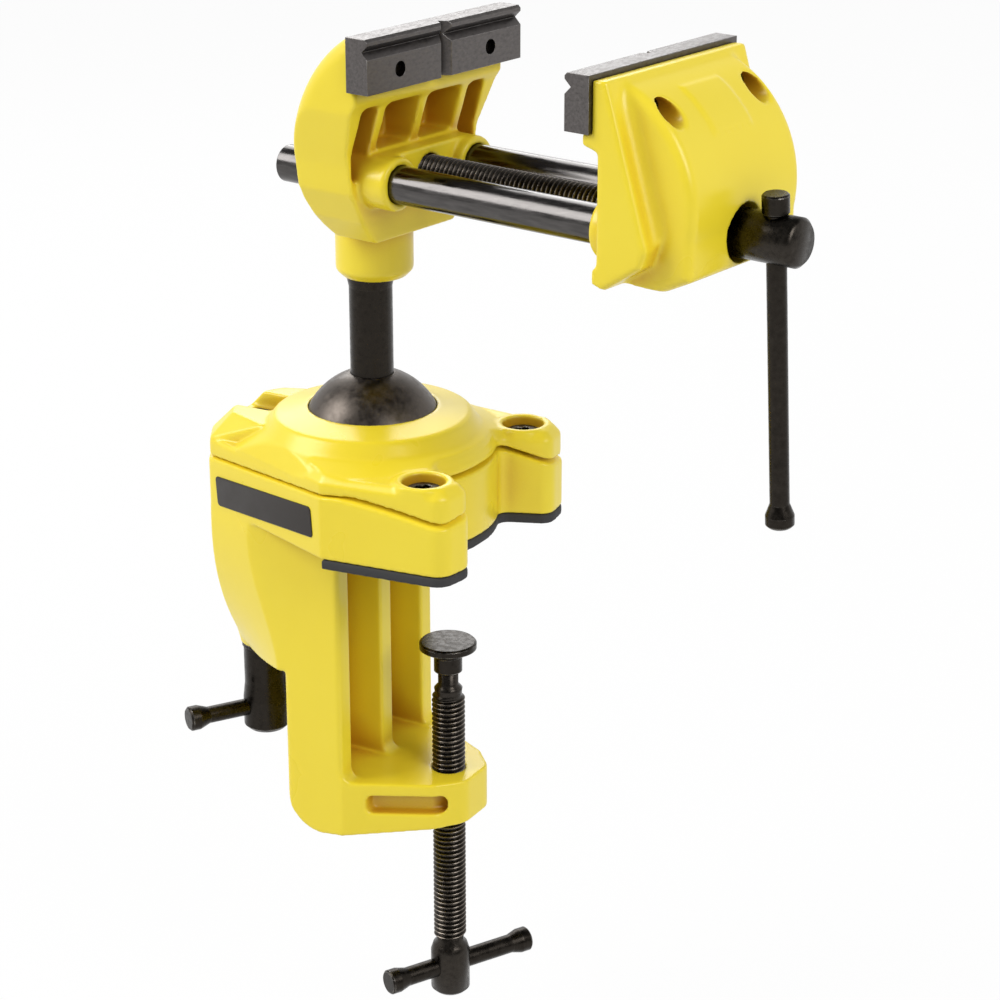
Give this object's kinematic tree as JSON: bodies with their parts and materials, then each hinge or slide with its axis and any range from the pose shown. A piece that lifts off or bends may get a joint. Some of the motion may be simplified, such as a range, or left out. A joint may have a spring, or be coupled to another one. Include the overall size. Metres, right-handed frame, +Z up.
{
  "type": "multi-angle bench vise",
  "caption": "Bench-edge vise: a rod-guided jaw head driven by a lead screw swivels and tilts on a clamped ball joint above a screw-on C-shaped clamp.",
  "frame": {"origin": "on the bench surface, on the axis of the clamp screw", "axes": "+X from the pillar towards the bench and the handle side, +Z up"},
  "size_m": [0.2309, 0.1008, 0.3473],
  "materials": {
    "casting": "gloss yellow paint",
    "black_steel": "black oxide",
    "jaw_steel": "dark brushed",
    "ball_steel": "black satin",
    "seat_steel": "plain",
    "nut_steel": "plain",
    "rubber": "matt"
  },
  "bodies": {
    "base": {"clamp_body": "casting", "ball_cap": "casting", "cap_screws": "black_steel", "bench_pad": "rubber", "lock_bolt": "black_steel"},
    "seat": {"ball_seat": "seat_steel"},
    "ball": {"ball": "ball_steel"},
    "head": {"post": "black_steel", "fixed_jaw": "casting", "fixed_jaw_plate": "jaw_steel", "fixed_plate_screws": "black_steel", "lead_nut": "nut_steel"},
    "slider": {"moving_jaw": "casting", "moving_jaw_plate": "jaw_steel", "moving_plate_screws": "black_steel", "guide_rod_near": "black_steel", "guide_rod_far": "black_steel", "rod_pins": "black_steel", "lead_washer": "black_steel"},
    "lead_screw": {"lead_screw": "black_steel", "lead_ring": "black_steel"},
    "lead_bar": {"lead_bar": "black_steel", "lead_bar_cap": "black_steel"},
    "clamp_pad": {"clamp_pad": "black_steel"},
    "clamp_screw": {"clamp_screw": "black_steel"},
    "clamp_bar": {"clamp_bar": "black_steel"},
    "lock_washer": {"lock_washer": "black_steel"},
    "lock_nut": {"lock_nut": "black_steel"},
    "lock_bar": {"lock_bar": "black_steel"}
  },
  "joints": [
    {"name": "ball_swivel", "type": "hinge", "parent": "base", "child": "seat", "pos_m": [-0.0286, 0, 0.0301], "axis": [0, 0, 1], "continuous": true},
    {"name": "ball_tilt", "type": "hinge", "parent": "seat", "child": "ball", "pos_m": [-0.0286, 0, 0.0301], "axis": [0.1478, 0.989, 0], "range_deg": [-38, 38]},
    {"name": "head_spin", "type": "hinge", "parent": "ball", "child": "head", "pos_m": [-0.0286, 0, 0.0301], "axis": [0, 0, 1], "continuous": true},
    {"name": "jaw_slide", "type": "slide", "parent": "head", "child": "slider", "axis": [0.989, -0.1478, 0], "range_m": [-0.0737, 0.006]},
    {"name": "screw_turn", "type": "hinge", "parent": "slider", "child": "lead_screw", "pos_m": [0.08573, -0.01709, 0.1252], "axis": [0.989, -0.1478, 0], "range_deg": [-15161.14, 1234.29]},
    {"name": "lead_bar_slide", "type": "slide", "parent": "lead_screw", "child": "lead_bar", "axis": [-0.0134, -0.0896, 0.9959], "range_m": [0, 0.0765]},
    {"name": "clamp_slide", "type": "slide", "parent": "base", "child": "clamp_pad", "axis": [0, 0, 1], "range_m": [-0.024, 0.0377]},
    {"name": "clamp_turn", "type": "hinge", "parent": "clamp_pad", "child": "clamp_screw", "pos_m": [0, 0, -0.1638], "axis": [0, 0, 1], "range_deg": [-4937.14, 7755.43]},
    {"name": "clamp_bar_slide", "type": "slide", "parent": "clamp_screw", "child": "clamp_bar", "axis": [0.4695, 0.8829, 0], "range_m": [-0.0178, 0.0108]},
    {"name": "lock_slide", "type": "slide", "parent": "base", "child": "lock_washer", "axis": [0, 0, 1], "range_m": [-0.00059128, 0]},
    {"name": "lock_turn", "type": "hinge", "parent": "lock_washer", "child": "lock_nut", "pos_m": [-0.0761, 0, -0.0792], "axis": [0, 0, 1], "range_deg": [-170, 0]},
    {"name": "lock_bar_slide", "type": "slide", "parent": "lock_nut", "child": "lock_bar", "axis": [0.5373, 0.8434, 0], "range_m": [-0.01, 0.014]}
  ],
  "couplings": [
    {"joint": "jaw_slide", "follows": "screw_turn", "m_per_rad": 0.00027852},
    {"joint": "clamp_slide", "follows": "clamp_turn", "m_per_rad": 0.00027852},
    {"joint": "lock_slide", "follows": "lock_turn", "m_per_rad": 0.00019894}
  ]
}
